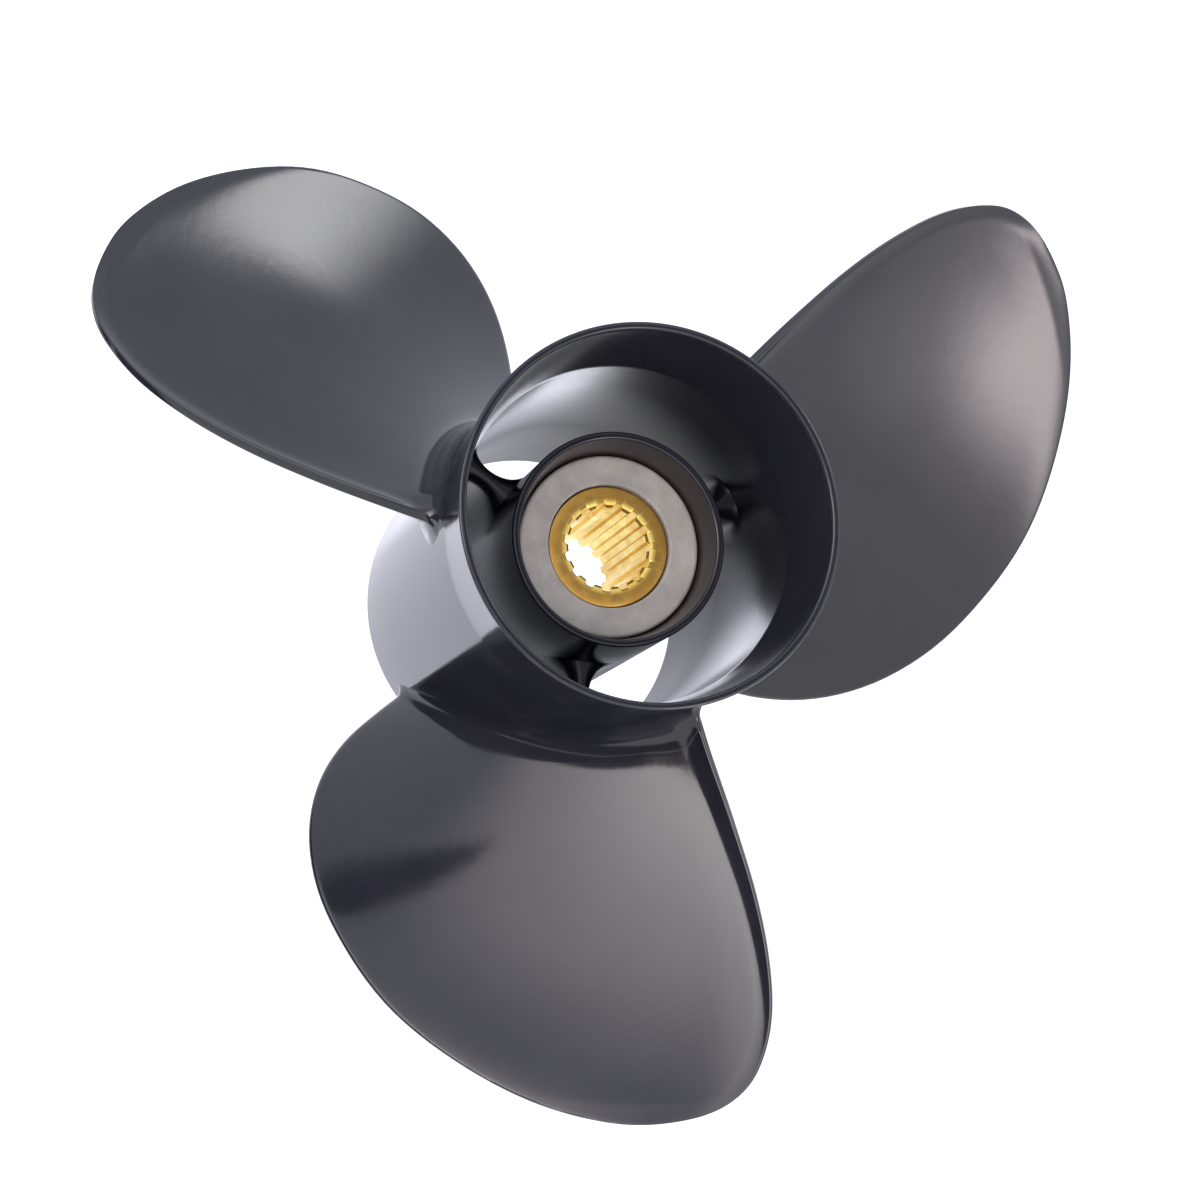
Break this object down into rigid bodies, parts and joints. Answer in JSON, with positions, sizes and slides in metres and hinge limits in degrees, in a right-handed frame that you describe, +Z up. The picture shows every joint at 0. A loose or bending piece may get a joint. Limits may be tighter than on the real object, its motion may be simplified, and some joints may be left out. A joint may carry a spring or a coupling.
{
  "type": "outboard propeller",
  "caption": "Right-handed boat propeller with broad raked blades on a hollow exhaust barrel, an inner tube, a rubber bush and a splined brass sleeve.",
  "frame": {"origin": "on the shaft axis, at the forward thrust face of the splined sleeve", "axes": "+Y is forward along the shaft, towards the gearcase; -Y is aft; +Z is up with the shaft level"},
  "size_m": [0.3058, 0.153, 0.2874],
  "materials": {
    "painted_casting": "gloss",
    "bush_rubber": "satin",
    "sleeve_brass": "satin"
  },
  "bodies": {
    "root": {"propeller_casting": "painted_casting", "rubber_bush": "bush_rubber", "splined_sleeve": "sleeve_brass"}
  },
  "joints": []
}
